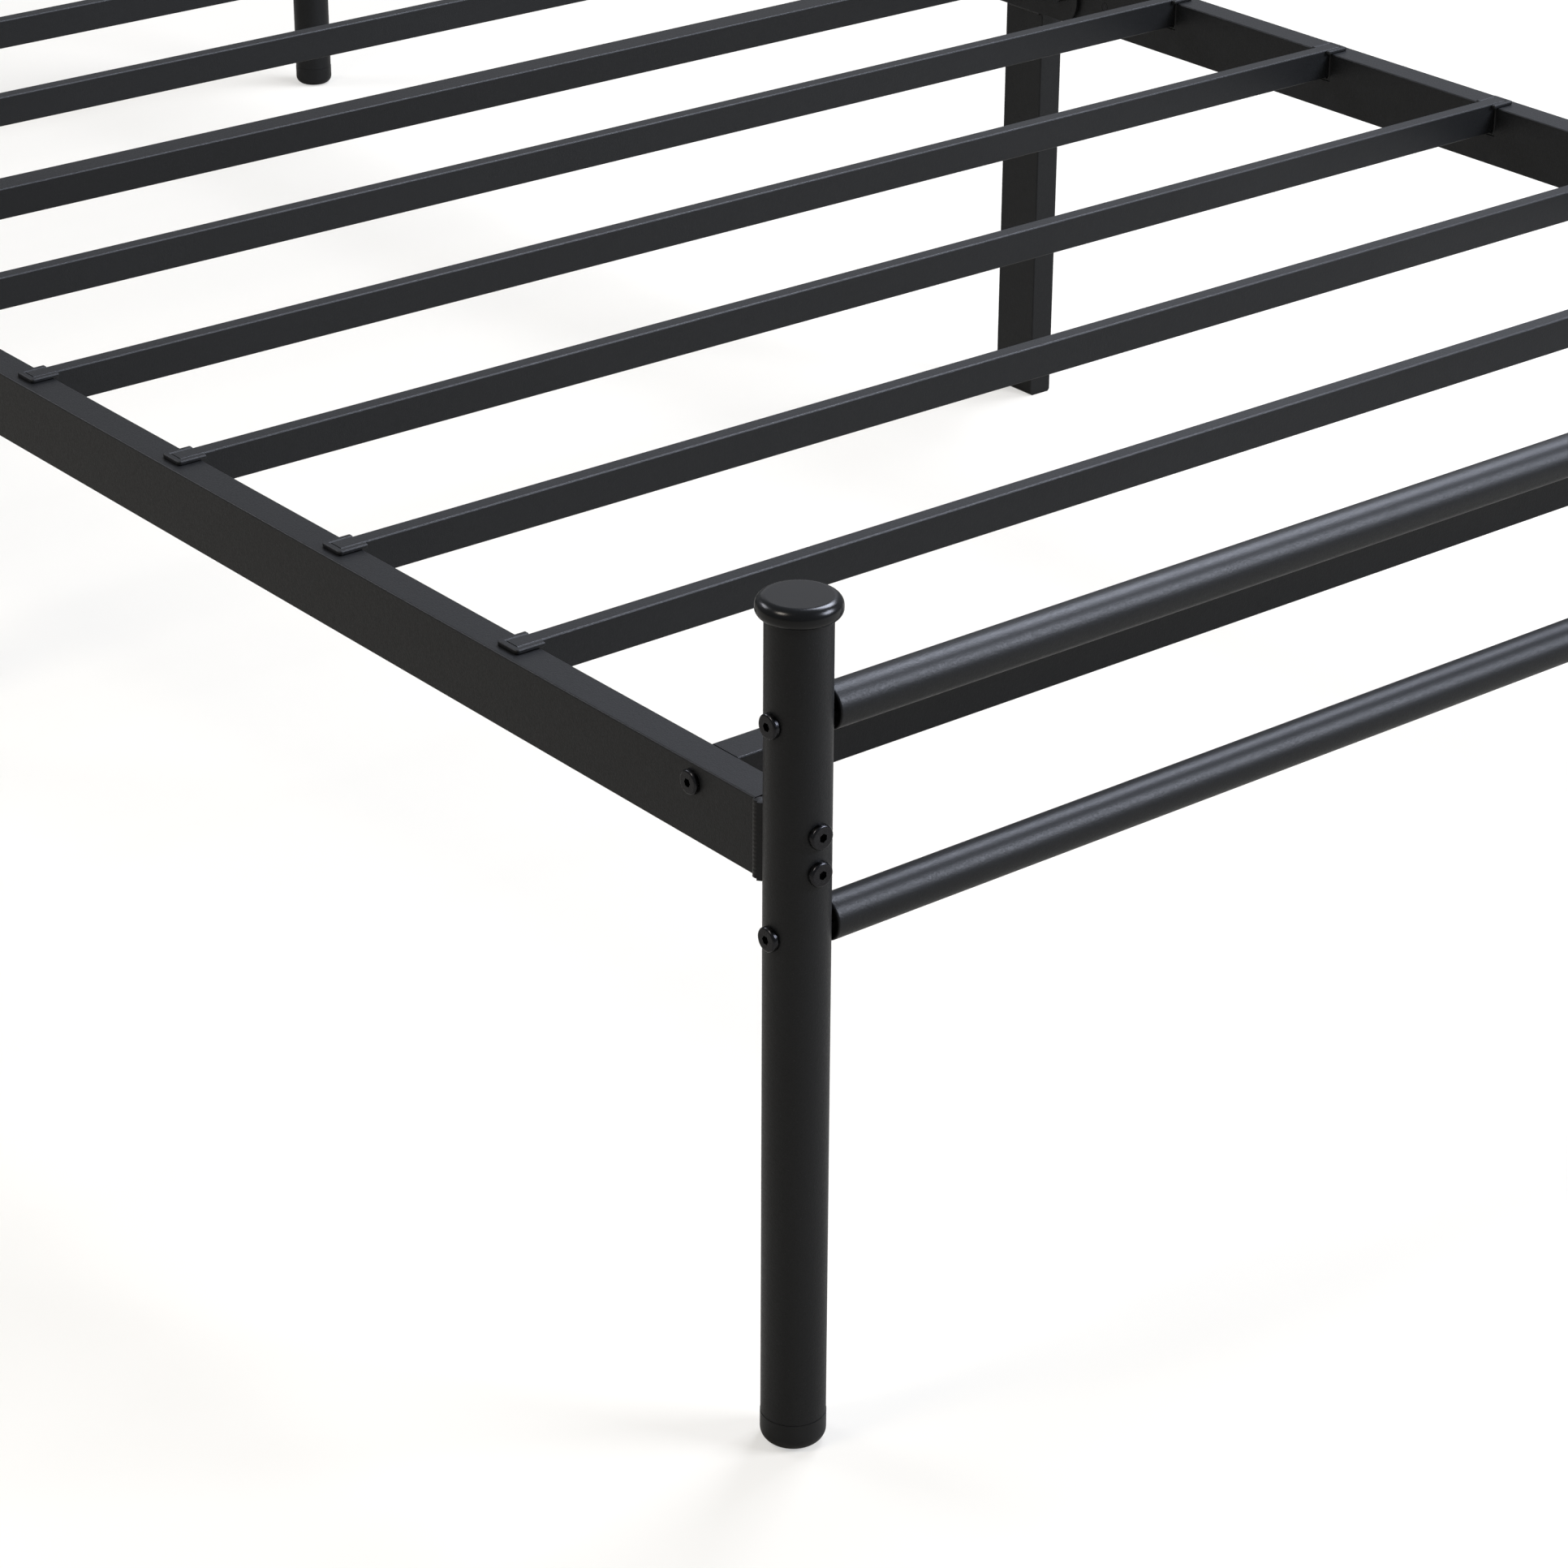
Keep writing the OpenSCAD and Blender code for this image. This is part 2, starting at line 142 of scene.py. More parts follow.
def noise(tree, place, length, detail):
    settings = {"Scale": per_metre(length), "Detail": detail}
    return node(tree, "ShaderNodeTexNoise", settings, {"Vector": place})


# The mix node's colour sockets share their names with its number sockets, so they go by number.
COLOUR_A, COLOUR_B, MIXED = 6, 7, 2


def new_finish(name):
    material = bpy.data.materials.new(name)
    material.use_nodes = True
    tree = material.node_tree
    shader = tree.nodes["Principled BSDF"]
    place = tree.nodes.new("ShaderNodeTexCoord").outputs["Object"]
    return material, tree, shader, place


# %% [markdown]
# ## Powder coat
#
# The steel is finished with a black satin polyester powder coat: charged powder is sprayed on,
# and melts into a skin in an oven. That skin never gets quite flat. It has a fine grain of
# about half a millimetre, a softer orange peel a few millimetres wide, and here and there a
# speck where dust or a coarse grain melted in. So the shader is a dielectric with the index of
# a polyester, a black base, and three noises: grain and peel bend the surface, the widest one
# varies tone and gloss a little, as a hand-held spray gun does. The slats come from another
# batch, and their black is slightly greyer. The same paint lies thicker and glossier on a weld.

# %% Powder coat on steel
PEEL = 3.2 * MM
GRAIN = 0.9 * MM  # finer on the real frame, drawn this coarse so that it shows
PEEL_DEPTH = 0.25 * MM
GRAIN_DEPTH = 0.12 * MM
SPRAY_DRIFT = 90 * MM
SPECK = 2.4 * MM
SPECK_COLOUR = "#26272a"
PEEL_STRENGTH = 0.25
GRAIN_STRENGTH = 0.6
SPECK_EDGE = 0.10
SPECK_CORE = 0.05
NOISE_LOW = 0.3
NOISE_HIGH = 0.7
POLYESTER_IOR = 1.5
MATTING = 0.3  # a satin powder holds wax that takes away part of the mirror-like shine


def powder_coat(name, dark, light, gloss_low, gloss_high):
    material, tree, shader, place = new_finish(name)
    drift = noise(tree, place, SPRAY_DRIFT, detail=2)
    grain = noise(tree, place, GRAIN, detail=1.5)
    peel = noise(tree, place, PEEL, detail=1)
    speck = node(tree, "ShaderNodeTexVoronoi", {"Scale": per_metre(SPECK)}, {"Vector": place})
    # Only the very centre of a few cells becomes a speck.
    speck_mask = node(
        tree,
        "ShaderNodeMapRange",
        {"From Min": SPECK_EDGE, "From Max": SPECK_CORE},
        {"Value": speck.outputs["Distance"]},
    )
    tone = node(
        tree,
        "ShaderNodeMix",
        {COLOUR_A: linear(dark), COLOUR_B: linear(light)},
        {"Factor": drift.outputs["Fac"]},
        data_type="RGBA",
    )
    flecked = node(
        tree,
        "ShaderNodeMix",
        {COLOUR_B: linear(SPECK_COLOUR)},
        {"Factor": speck_mask.outputs["Result"], COLOUR_A: tone.outputs[MIXED]},
        data_type="RGBA",
    )
    tree.links.new(flecked.outputs[MIXED], shader.inputs["Base Color"])
    gloss = node(
        tree,
        "ShaderNodeMapRange",
        {
            "From Min": NOISE_LOW,
            "From Max": NOISE_HIGH,
            "To Min": gloss_low,
            "To Max": gloss_high,
        },
        {"Value": grain.outputs["Fac"]},
    )
    tree.links.new(gloss.outputs["Result"], shader.inputs["Roughness"])
    soft = node(
        tree,
        "ShaderNodeBump",
        {"Strength": PEEL_STRENGTH, "Distance": PEEL_DEPTH},
        {"Height": peel.outputs["Fac"]},
    )
    fine = node(
        tree,
        "ShaderNodeBump",
        {"Strength": GRAIN_STRENGTH, "Distance": GRAIN_DEPTH},
        {"Height": grain.outputs["Fac"], "Normal": soft.outputs["Normal"]},
    )
    tree.links.new(fine.outputs["Normal"], shader.inputs["Normal"])
    shader.inputs["IOR"].default_value = POLYESTER_IOR
    shader.inputs["Specular IOR Level"].default_value = MATTING
    return material


steel = powder_coat("powder_coated_steel", "#0d0e0f", "#111213", 0.40, 0.50)
slat_steel = powder_coat("powder_coated_slat", "#131415", "#18191a", 0.40, 0.50)
weld = powder_coat("powder_coated_weld", "#101010", "#171717", 0.32, 0.42)
print("finishes so far:", steel.name, slat_steel.name, weld.name)

# %% [markdown]
# ## Moulded plastic
#
# Caps, feet and clips are moulded: polypropylene for caps and feet, nylon for the clips that
# carry the slats. A mould is spark-eroded, so its skin prints a very fine even grain on the
# part, with no orange peel. The cap comes out a touch glossier than the paint beside it.

# %% Plastics
MOULD_GRAIN = 0.7 * MM
FLOW_MARK = 30 * MM
MOULD_STRENGTH = 0.3
GLOSS_DRIFT = 0.15


def moulded(name, dark, light, roughness, index, grain_depth):
    material, tree, shader, place = new_finish(name)
    grain = noise(tree, place, MOULD_GRAIN, detail=2)
    flow = noise(tree, place, FLOW_MARK, detail=3)
    tone = node(
        tree,
        "ShaderNodeMix",
        {COLOUR_A: linear(dark), COLOUR_B: linear(light)},
        {"Factor": flow.outputs["Fac"]},
        data_type="RGBA",
    )
    tree.links.new(tone.outputs[MIXED], shader.inputs["Base Color"])
    gloss = node(
        tree,
        "ShaderNodeMapRange",
        {"To Min": roughness * (1 - GLOSS_DRIFT), "To Max": roughness * (1 + GLOSS_DRIFT)},
        {"Value": flow.outputs["Fac"]},
    )
    tree.links.new(gloss.outputs["Result"], shader.inputs["Roughness"])
    skin = node(
        tree,
        "ShaderNodeBump",
        {"Strength": MOULD_STRENGTH, "Distance": grain_depth},
        {"Height": grain.outputs["Fac"]},
    )
    tree.links.new(skin.outputs["Normal"], shader.inputs["Normal"])
    shader.inputs["IOR"].default_value = index
    shader.inputs["Specular IOR Level"].default_value = MATTING
    return material


cap_plastic = moulded("moulded_polypropylene", "#0c0d0e", "#101112", 0.24, 1.49, 0.04 * MM)
foot_plastic = moulded("moulded_polypropylene_foot", "#0d0e0f", "#111213", 0.42, 1.5, 0.06 * MM)
clip_plastic = moulded("moulded_nylon", "#0f1011", "#141516", 0.50, 1.53, 0.06 * MM)
print("plastics:", cap_plastic.name, foot_plastic.name, clip_plastic.name)

# %% [markdown]
# ## Fasteners
#
# The bolts are steel with a black oxide over zinc. It is still a metal to the eye: dark, with
# sharp reflections, and a little rubbed where a key and other bolts have touched it. Nuts and
# threaded plugs mostly hide in the tubes, and are a duller and slightly greyer black.

# %% Plated metals
HANDLING = 1.6 * MM


def plated(name, dark, light, roughness_low, roughness_high):
    material, tree, shader, place = new_finish(name)
    rubbed = noise(tree, place, HANDLING, detail=4)
    tone = node(
        tree,
        "ShaderNodeMix",
        {COLOUR_A: linear(dark), COLOUR_B: linear(light)},
        {"Factor": rubbed.outputs["Fac"]},
        data_type="RGBA",
    )
    tree.links.new(tone.outputs[MIXED], shader.inputs["Base Color"])
    gloss = node(
        tree,
        "ShaderNodeMapRange",
        {
            "From Min": NOISE_LOW,
            "From Max": NOISE_HIGH,
            "To Min": roughness_low,
            "To Max": roughness_high,
        },
        {"Value": rubbed.outputs["Fac"]},
    )
    tree.links.new(gloss.outputs["Result"], shader.inputs["Roughness"])
    shader.inputs["Metallic"].default_value = 1.0
    return material


black_bolt = plated("black_oxide_steel", "#2a2a2c", "#3a3a3c", 0.20, 0.32)
black_zinc = plated("zinc_plated_steel", "#303133", "#3c3d40", 0.30, 0.44)
print("metals:", black_bolt.name, black_zinc.name)

# %% [markdown]
# ## From a bmesh to a finished piece
#
# Each shape is drawn in a bmesh and handed to one function. It welds doubles, turns the faces
# outwards, marks the edges that a hand would feel as sharp, and adds weighted normals: those
# let a small rounded corner catch a clean line of light next to a long flat face. It also hides
# the nodes of the frame that the piece stands for, and hangs the piece on the frame so that it
# moves with the frame.

# %% Finishing a piece
DOUBLES = 0.002 * MM
SHARP = math.radians(32)


def finish_piece(bm, name, finish, slot, *stands_for, outwards=True):
    bmesh.ops.remove_doubles(bm, verts=bm.verts, dist=DOUBLES)
    if outwards:
        bmesh.ops.recalc_face_normals(bm, faces=bm.faces)
    for face in bm.faces:
        face.smooth = True
    for edge in bm.edges:
        edge.smooth = len(edge.link_faces) == 2 and edge.calc_face_angle(math.pi) < SHARP
    mesh = bpy.data.meshes.new(name)
    bm.to_mesh(mesh)
    bm.free()
    mesh.materials.append(finish)
    piece = bpy.data.objects.new(name, mesh)
    bpy.context.scene.collection.objects.link(piece)
    shading = piece.modifiers.new("weighted_normals", "WEIGHTED_NORMAL")
    shading.keep_sharp = True
    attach(piece, "root")
    if stands_for:
        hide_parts(*stands_for)
    return piece


def join_to(bm, part, matrix):
    """Adds a finished small bmesh to a larger one, at its place."""
    bmesh.ops.transform(part, matrix=matrix, verts=part.verts)
    mesh = bpy.data.meshes.new("part")
    part.to_mesh(mesh)
    part.free()
    bm.from_mesh(mesh)
    bpy.data.meshes.remove(mesh)


# %% [markdown]
# ## Tubes
#
# Every tube starts as a flat face of its cross-section. Insetting that face by the wall leaves
# a ring, and pulling the ring along gives a tube with a true wall and open ends. A round tube
# starts from a circle, a box tube from one grid face whose four corners are bevelled.
# Placing comes last: a tube stands on the floor of its own frame and is then laid along X or Y.

# %% Tube helpers
ROUND_SEGMENTS = 96
CORNER_SEGMENTS = 6
FINE_STEPS = 3
RIM_STEPS = 5
HEAD_STEPS = 6
UNDER_STEPS = 12
WIDE_STEPS = 14
ALONG_X = Matrix(((0, 0, 1, 0), (1, 0, 0, 0), (0, 1, 0, 0), (0, 0, 0, 1)))
ALONG_Y = Matrix(((1, 0, 0, 0), (0, 0, 1, 0), (0, -1, 0, 0), (0, 0, 0, 1)))


def pull(bm, faces, length):
    drawn = bmesh.ops.extrude_face_region(bm, geom=faces)
    moved = [item for item in drawn["geom"] if isinstance(item, bmesh.types.BMVert)]
    bmesh.ops.translate(bm, vec=(0, 0, length), verts=moved)


def hollow(bm, face, wall):
    ring = bmesh.ops.inset_region(
        bm, faces=[face], thickness=wall, use_even_offset=True, use_boundary=True
    )["faces"]
    bmesh.ops.delete(bm, geom=[face], context="FACES_ONLY")
    return ring


def round_tube(radius, wall, length):
    bm = bmesh.new()
    bmesh.ops.create_circle(bm, cap_ends=True, radius=radius, segments=ROUND_SEGMENTS)
    pull(bm, hollow(bm, bm.faces[:][0], wall), length)
    return bm


def box_tube(width, height, wall, length):
    bm = bmesh.new()
    bmesh.ops.create_grid(bm, x_segments=1, y_segments=1, size=0.5)
    bmesh.ops.scale(bm, vec=(width, height, 1), verts=bm.verts)
    bmesh.ops.bevel(
        bm,
        geom=bm.verts[:],
        affect="VERTICES",
        offset=TUBE_CORNER,
        offset_type="OFFSET",
        segments=CORNER_SEGMENTS,
        profile=0.5,
        material=-1,
    )
    face = max(bm.faces, key=lambda f: f.calc_area())
    pull(bm, hollow(bm, face, wall), length)
    return bm


def ring_edges(bm, radius, height, tolerance=0.01 * MM):
    """The edges of the circle of that radius at that height."""
    def on_ring(vert):
        return abs(vert.co.z - height) < tolerance and abs(vert.co.xy.length - radius) < tolerance

    return [edge for edge in bm.edges if all(on_ring(vert) for vert in edge.verts)]


def round_over(bm, edges, amount, segments):
    bmesh.ops.bevel(
        bm,
        geom=edges,
        affect="EDGES",
        offset=amount,
        offset_type="OFFSET",
        segments=segments,
        profile=0.5,
        material=-1,
    )


# %% [markdown]
# ## Posts, caps and feet
#
# A post is a plain round tube. Its cut end is touched up with a file before painting, so the
# outer rim gets a tiny round. The mushroom cap is a disc whose top edge is rounded wide and
# whose under edge curls back to the tube. Below it a plug grips the inside of the post. The
# foot is the same idea upside down, with a deep round so that it slides over a carpet.

# %% Posts
FILED_EDGE = 0.1 * MM
PLUG_FIT = 0.2 * MM

for end_name in ENDS:
    for side_name in SIDES:
        corner = f"{end_name}_{side_name}"
        low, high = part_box(f"{corner}_post")
        tube = round_tube(post_radius, POST_WALL, high.z - low.z)
        for height in (0, high.z - low.z):
            round_over(tube, ring_edges(tube, post_radius, height), FILED_EDGE, FINE_STEPS)
        foot_of_post = ((low.x + high.x) / 2, (low.y + high.y) / 2, low.z)
        bmesh.ops.translate(tube, vec=foot_of_post, verts=tube.verts)
        finish_piece(tube, f"post_{corner}", steel, "powder_coated_steel", f"{corner}_post")
print("posts made:", len(ENDS) * len(SIDES))


# %% Caps and feet
def plugged_disc(radius, height, plug_up):
    """A disc on z = 0 with a plug for the inside of a post, on its upper or lower face."""
    bm = bmesh.new()
    bmesh.ops.create_cone(
        bm, cap_ends=True, segments=ROUND_SEGMENTS, radius1=radius, radius2=radius, depth=height
    )
    bmesh.ops.translate(bm, vec=(0, 0, height / 2), verts=bm.verts)
    direction = 1 if plug_up else -1
    face = max(bm.faces, key=lambda f: f.normal.z * direction)
    bmesh.ops.inset_region(bm, faces=[face], thickness=radius - post_radius + POST_WALL + PLUG_FIT)
    pull(bm, [face], direction * PLUG_LENGTH)
    return bm


for end_name in ENDS:
    for side_name in SIDES:
        corner = f"{end_name}_{side_name}"
        place = Vector((middle(f"{corner}_post").x, middle(f"{corner}_post").y, 0))

        cap_base, cap_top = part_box(f"{corner}_post")[1].z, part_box(f"{corner}_cap")[1].z
        cap_radius = size(f"{corner}_cap").x / 2
        cap = plugged_disc(cap_radius, cap_top - cap_base, plug_up=False)
        round_over(cap, ring_edges(cap, cap_radius, cap_top - cap_base), CAP_TOP_ROUND, WIDE_STEPS)
        round_over(cap, ring_edges(cap, cap_radius, 0), CAP_UNDER_ROUND, UNDER_STEPS)
        bmesh.ops.translate(cap, vec=place + Vector((0, 0, cap_base)), verts=cap.verts)
        finish_piece(cap, f"cap_{corner}", cap_plastic, "cap_plastic", f"{corner}_cap")

        foot_radius = size(f"{corner}_foot").x / 2
        foot_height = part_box(f"{corner}_post")[0].z
        foot = plugged_disc(foot_radius, foot_height, plug_up=True)
        round_over(foot, ring_edges(foot, foot_radius, 0), FOOT_ROUND, WIDE_STEPS)
        bmesh.ops.translate(foot, vec=place, verts=foot.verts)
        finish_piece(foot, f"foot_{corner}", foot_plastic, "foot_plastic", f"{corner}_foot")
print("caps and feet made:", 2 * len(ENDS) * len(SIDES))

# %% [markdown]
# ## Round bars
#
# Two bars close the foot end and four the head end. They butt square against the round posts,
# so a dark wedge stays open beside each joint and the mouth of the tube can be seen in it.
# The rim of the mouth is rounded well over, because the saw's burr is brushed off.

# %% Bars
BRUSHED_RIM = 1.1 * MM

bars = [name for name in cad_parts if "board_" in name]
for name in sorted(bars):
    low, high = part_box(name)
    radius = (high.z - low.z) / 2
    tube = round_tube(radius, BAR_WALL, high.x - low.x)
    for height in (0, high.x - low.x):
        round_over(tube, ring_edges(tube, radius, height), BRUSHED_RIM, RIM_STEPS)
    laid = Matrix.Translation((low.x, middle(name).y, middle(name).z)) @ ALONG_X
    bmesh.ops.transform(tube, matrix=laid, verts=tube.verts)
    finish_piece(tube, f"{name}_tube", steel, "powder_coated_steel", name)
print("bars made:", len(bars))

# %% [markdown]
# ## Slats, cross rails and legs
#
# All of these are box tubes, and only their size and direction differ. The rounded corners of
# rolled tube matter more than they seem to: on a black frame they are what draws the thin
# bright line along every edge.

# %% Straight box tubes
def lay_box_tube(name, wall, along, new_name, finish=steel):
    low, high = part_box(name)
    extent = high - low
    centre = (low + high) / 2
    if along == "x":
        tube = box_tube(extent.y, extent.z, wall, extent.x)
        matrix = Matrix.Translation((low.x, centre.y, centre.z)) @ ALONG_X
    else:
        tube = box_tube(extent.x, extent.y, wall, extent.z)
        matrix = Matrix.Translation((centre.x, centre.y, low.z))
    bmesh.ops.transform(tube, matrix=matrix, verts=tube.verts)
    return finish_piece(tube, new_name, finish, "powder_coated_steel", name)


slats = sorted(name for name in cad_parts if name.startswith("slat_") and name != "slat_clips")
for name in slats:
    lay_box_tube(name, SLAT_WALL, "x", f"{name}_tube", slat_steel)
for name in ("foot_cross_rail", "middle_cross_rail", "head_cross_rail"):
    lay_box_tube(name, CROSS_WALL, "x", f"{name}_tube")
for side_name in SIDES:
    lay_box_tube(f"{side_name}_middle_leg", RAIL_WALL, "z", f"{side_name}_leg_tube")
print("slats:", len(slats))

# %% [markdown]
# ## Pieces whose cuts matter
#
# The side rails are notched for every clip and drilled for every bolt, and the saddles are
# curved plates with holes. Their exact shape is already in the frame's own mesh, as loose
# triangles. A copy of it is welded together and its flat triangles are dissolved into whole
# faces. Then it can be shaded like the rest, and a small bevel can break its sharp edges.

# %% Copies of cut pieces
FLAT = math.radians(0.5)
PLATE_EDGE = 0.3 * MM
SADDLE_EDGE = 0.4 * MM
CLIP_EDGE = 0.6 * MM


def copy_of(name):
    bm = bmesh.new()
    bm.from_mesh(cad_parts[name].data)
    bmesh.ops.remove_doubles(bm, verts=bm.verts, dist=DOUBLES)
    bmesh.ops.dissolve_limit(bm, angle_limit=FLAT, verts=bm.verts, edges=bm.edges)
    return bm


def finish_copy(name, new_name, finish, slot, edge=0.0):
    made = finish_piece(copy_of(name), new_name, finish, slot, name, outwards=False)
    if edge:
        broken = made.modifiers.new("broken_edges", "BEVEL")
        broken.width = edge
        broken.segments = 2
        broken.limit_method = "ANGLE"
        broken.angle_limit = SHARP
        made.modifiers.move(1, 0)
    return made


for side_name in SIDES:
    for end_name in ENDS:
        rail = f"{side_name}_rail_{end_name}_half"
        finish_copy(rail, f"{side_name}_{end_name}_rail", steel, "powder_coated_steel")
    finish_copy(f"{side_name}_joint_piece", f"{side_name}_joint_tube", steel, "powder_coated_steel")
    plate = f"{side_name}_cross_plate"
    finish_copy(plate, f"{side_name}_end_plate", steel, "powder_coated_steel", PLATE_EDGE)
    finish_copy(f"{side_name}_leg_foot", f"{side_name}_leg_shoe", foot_plastic, "foot_plastic")
finish_copy("rail_saddles", "saddles", steel, "powder_coated_steel", SADDLE_EDGE)
finish_copy("rail_spigots", "spigots", steel, "powder_coated_steel")
finish_copy("slat_clips", "clips", clip_plastic, "clip_plastic", CLIP_EDGE)
for name in ("bar_plugs", "cross_rail_plugs", "saddle_nuts", "joint_nuts", "cross_plate_nuts"):
    finish_copy(name, f"{name}_set", black_zinc, "plated_steel")
print("copied pieces are in place")

# %% [markdown]
# ## Bolts
#
# Every bolt has the same low head: a flat face, a rounded glossy rim and a hexagon socket. One
# is drawn upright, then a copy is turned to each place. The head starts as a short cylinder,
# its upper rim is rounded, and its flat face is swapped for a bridge between the rim and a
# hexagon, so that the socket can be sunk into it.


# %% One bolt
RIM_ROUND = 1.3 * MM
BOLT_SEGMENTS = 48


def bolt(length):
    bm = bmesh.new()
    bmesh.ops.create_cone(
        bm,
        cap_ends=True,
        segments=BOLT_SEGMENTS,
        radius1=BOLT_HEAD,
        radius2=BOLT_HEAD,
        depth=BOLT_HEAD_HEIGHT,
        matrix=Matrix.Translation((0, 0, BOLT_HEAD_HEIGHT / 2)),
    )
    round_over(bm, ring_edges(bm, BOLT_HEAD, BOLT_HEAD_HEIGHT), RIM_ROUND, HEAD_STEPS)
    face = max(bm.faces, key=lambda f: f.calc_center_median().z)
    rim = face.edges[:]
    bmesh.ops.delete(bm, geom=[face], context="FACES_ONLY")
    corner = SOCKET_FLATS / 2 / math.cos(math.radians(30))
    hexagon = bmesh.ops.create_circle(
        bm, segments=6, radius=corner, matrix=Matrix.Translation((0, 0, BOLT_HEAD_HEIGHT))
    )["verts"]
    mouth = list({edge for vert in hexagon for edge in vert.link_edges})
    bmesh.ops.bridge_loops(bm, edges=rim + mouth)
    sunk = bmesh.ops.extrude_edge_only(bm, edges=mouth)["geom"]
    floor_edges = [item for item in sunk if isinstance(item, bmesh.types.BMEdge)]
    floor_verts = [item for item in sunk if isinstance(item, bmesh.types.BMVert)]
    bmesh.ops.translate(bm, vec=(0, 0, -SOCKET_DEPTH), verts=floor_verts)
    bmesh.ops.contextual_create(bm, geom=floor_edges)
    under = min(bm.faces, key=lambda f: f.calc_center_median().z)
    bmesh.ops.inset_region(bm, faces=[under], thickness=BOLT_HEAD - BOLT_SHANK)
    pull(bm, [under], -length)
    return bm


# %% All bolts
def turned(side=0, end=0):
    """The turn that points a bolt's head to the left or right, or to the foot or head end."""
    if side:
        return Matrix.Rotation(side * math.pi / 2, 4, "Y")
    return Matrix.Rotation(-end * math.pi / 2, 4, "X")


def bolt_set(name, new_name, length, places):
    bm = bmesh.new()
    for place, turn in places:
        join_to(bm, bolt(length), Matrix.Translation(place) @ turn)
    finish_piece(bm, new_name, black_bolt, "black_bolt_steel", name)
    print(new_name, len(places))


post_face = half_x + post_radius
# How far each kind of bolt reaches below its head, as in the design.
BAR_BOLT = post_radius * 2 + 21 * MM
SADDLE_BOLT = post_radius * 2 + 8 * MM
CROSS_RAIL_BOLT = 41 * MM
JOINT_BOLT = 20 * MM
CROSS_PLATE_BOLT = 28 * MM

bolt_set(
    "bar_bolts",
    "bar_bolt_set",
    BAR_BOLT,
    [
        ((side * post_face, middle(name).y, middle(name).z), turned(side=side))
        for name in bars
        for side in SIDES.values()
    ],
)
saddle_low, saddle_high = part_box("saddle_bolts")
bolt_set(
    "saddle_bolts",
    "saddle_bolt_set",
    SADDLE_BOLT,
    [
        ((side * half_x, end * (half_y + post_radius), height), turned(end=end))
        for side in SIDES.values()
        for end in ENDS.values()
        for height in (saddle_low.z + BOLT_HEAD, saddle_high.z - BOLT_HEAD)
    ],
)
for name, new_name, reach in (
    ("cross_rail_bolts", "cross_rail_bolt_set", CROSS_RAIL_BOLT),
    ("joint_bolts", "joint_bolt_set", JOINT_BOLT),
    ("cross_plate_bolts", "cross_plate_bolt_set", CROSS_PLATE_BOLT),
):
    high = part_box(name)[1]
    seat, along, level = high.x - BOLT_HEAD_HEIGHT, high.y - BOLT_HEAD, middle(name).z
    bolt_set(
        name,
        new_name,
        reach,
        [
            ((side * seat, end * along, level), turned(side=side))
            for side in SIDES.values()
            for end in ENDS.values()
        ],
    )

# %% [markdown]
# ## Weld beads
#
# The saddles are welded to the rails, and the legs to the joint pieces. A hand-held torch lays
# a row of small overlapping drops, and the paint softens them. A bead is a ring of points that
# is extruded step by step along a seam, growing and shrinking a little at every drop.

# %% Beads
DROP = 2.2 * MM
RIPPLE = 0.06
BEAD_SEGMENTS = 24
SADDLE_BEAD = 3.2 * MM
LEG_BEAD = 2.6 * MM
BEAD_SUNK = 1.9 * MM  # how deep a bead's centre lies, so that it swells out gently
SEAM_OFFSET = 1.4 * MM
SEAM_OVERRUN = 0.2 * MM
LEAST_STEPS = 8
STEPS_PER_DROP = 5
TIP_GROWTH = 4
TIP_END = 0.3


def bead(bm, start, end, radius):
    """A lumpy rod from start to end with rounded tips."""
    path = end - start
    steps = max(LEAST_STEPS, round(path.length / DROP * STEPS_PER_DROP))
    turn = path.to_track_quat("Z", "Y").to_matrix().to_4x4()
    ring = bmesh.ops.create_circle(
        bm,
        cap_ends=True,
        segments=BEAD_SEGMENTS,
        radius=radius,
        matrix=Matrix.Translation(start) @ turn,
    )["verts"]
    edges = list({edge for vert in ring for edge in vert.link_edges})
    width = 1.0
    for step in range(1, steps + 1):
        along = step / steps
        drop = abs(math.sin(math.pi * along * path.length / DROP))
        opening = TIP_GROWTH * along * path.length / DROP
        closing = TIP_GROWTH * (1 - along) * path.length / DROP + TIP_END
        tip = min(1.0, opening, closing)
        drawn = bmesh.ops.extrude_edge_only(bm, edges=edges)["geom"]
        edges = [item for item in drawn if isinstance(item, bmesh.types.BMEdge)]
        verts = [item for item in drawn if isinstance(item, bmesh.types.BMVert)]
        bmesh.ops.translate(bm, vec=path / steps, verts=verts)
        centre = start + path * along
        new_width = (1 - RIPPLE + RIPPLE * drop) * tip
        bmesh.ops.scale(
            bm,
            vec=(new_width / width,) * 3,
            space=Matrix.Translation(-centre),
            verts=verts,
        )
        width = new_width
    bmesh.ops.contextual_create(bm, geom=edges)


rail_low, rail_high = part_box("left_rail_foot_half")
saddle_reach = half_y - abs(rail_low.y)
beads = bmesh.new()
for side in SIDES.values():
    for end in ENDS.values():
        seam_y = end * (half_y - saddle_reach + SEAM_OFFSET)
        for face_side in (-1, 1):
            x = side * half_x + face_side * ((rail_high.x - rail_low.x) / 2 - BEAD_SUNK)
            lower = Vector((x, seam_y, rail_low.z - SEAM_OVERRUN))
            upper = Vector((x, seam_y, rail_high.z - SEAM_OVERRUN))
            bead(beads, lower, upper, SADDLE_BEAD)
finish_piece(beads, "saddle_welds", weld, "powder_coated_steel")

